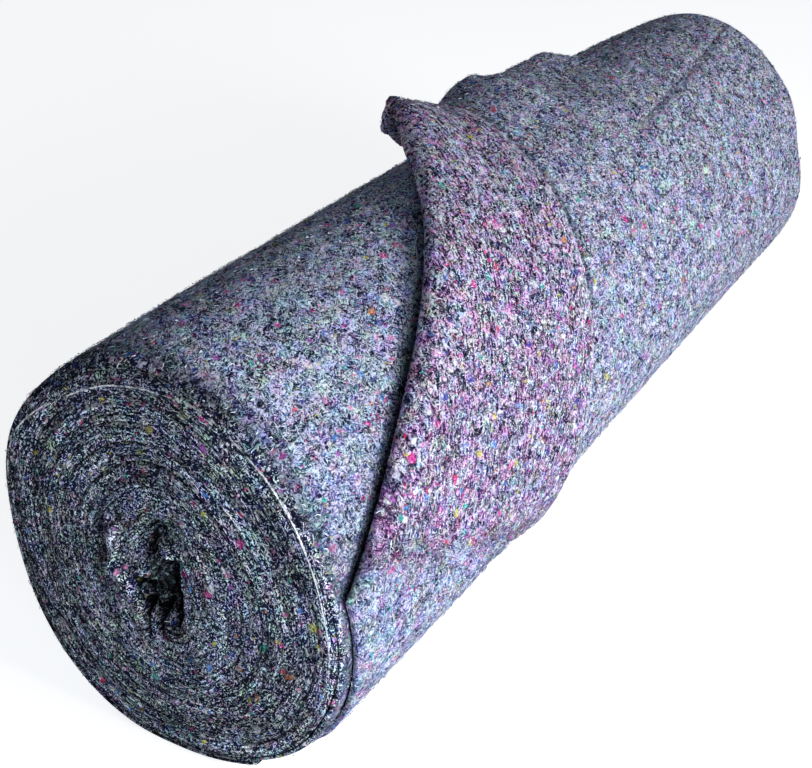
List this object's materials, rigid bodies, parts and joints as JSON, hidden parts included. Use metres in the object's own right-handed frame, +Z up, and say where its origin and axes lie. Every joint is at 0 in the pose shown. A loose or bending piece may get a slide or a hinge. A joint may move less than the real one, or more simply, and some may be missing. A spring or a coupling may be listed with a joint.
{
  "type": "roll of capillary matting",
  "caption": "Roll of thick recycled-fibre felt matting, wound up lying down, its last turn loose with one corner folded back over the roll.",
  "frame": {"origin": "middle of the small flat spot that the roll rests on, halfway along the roll, on the floor", "axes": "+X along the roll towards its far end, +Z up, the loose turn comes up over the -Y side and ends behind the top"},
  "size_m": [1.0045, 0.2974, 0.3598],
  "materials": {
    "felt_outer": "matt hairy needle felt of mixed recycled fibres, blue-grey with many coloured flecks",
    "felt_loose": "matt hairy needle felt of mixed recycled fibres, its inner face a little pinker with longer streaks"
  },
  "bodies": {
    "root": {"matting_roll": "felt_outer", "loose_end": "felt_loose"}
  },
  "joints": []
}
